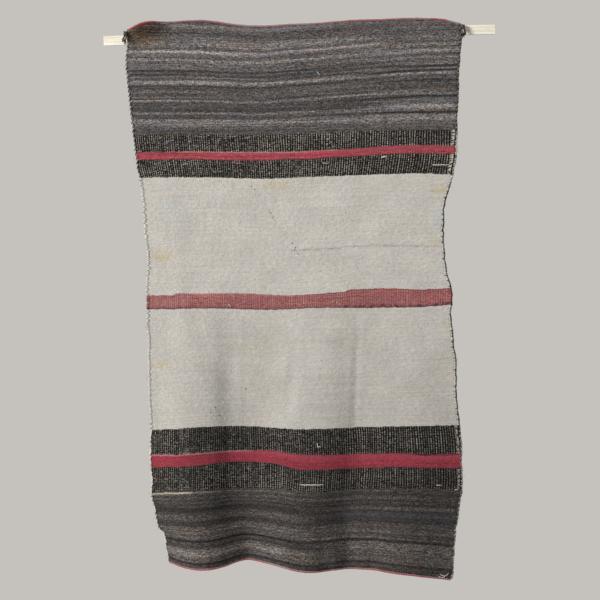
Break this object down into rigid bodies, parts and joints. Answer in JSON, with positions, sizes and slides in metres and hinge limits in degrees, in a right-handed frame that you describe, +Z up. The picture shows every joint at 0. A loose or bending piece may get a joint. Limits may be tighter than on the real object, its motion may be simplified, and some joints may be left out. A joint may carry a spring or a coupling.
{
  "type": "handwoven wool blanket hanging on a wooden lath",
  "caption": "Banded handwoven wool blanket with corded edges, hanging flat with soft folds at the bottom from a thin wooden lath.",
  "frame": {"origin": "on the lath's back face, which lies against the wall, half way up it and near the middle of the blanket's width", "axes": "+Z up along the blanket's length, +X along the lath to the right seen from the front, +Y out of the lath's back into the wall, so the blanket's front faces -Y"},
  "size_m": [1.04, 0.0638, 1.5039],
  "materials": {
    "undyed_wool": "matt handspun wool, weft-faced weave",
    "red_yarn": "matt dyed wool yarn",
    "dark_yarn": "matt dark wool yarn",
    "pale_wood": "pale smooth softwood"
  },
  "bodies": {
    "root": {"blanket_cloth": "undyed_wool", "end_cord_top": "red_yarn", "end_cord_bottom": "red_yarn", "selvage_cord_left": "dark_yarn", "selvage_cord_right": "dark_yarn", "corner_tuft_left": "dark_yarn", "corner_tuft_right": "dark_yarn", "hanging_lath": "pale_wood"}
  },
  "joints": []
}
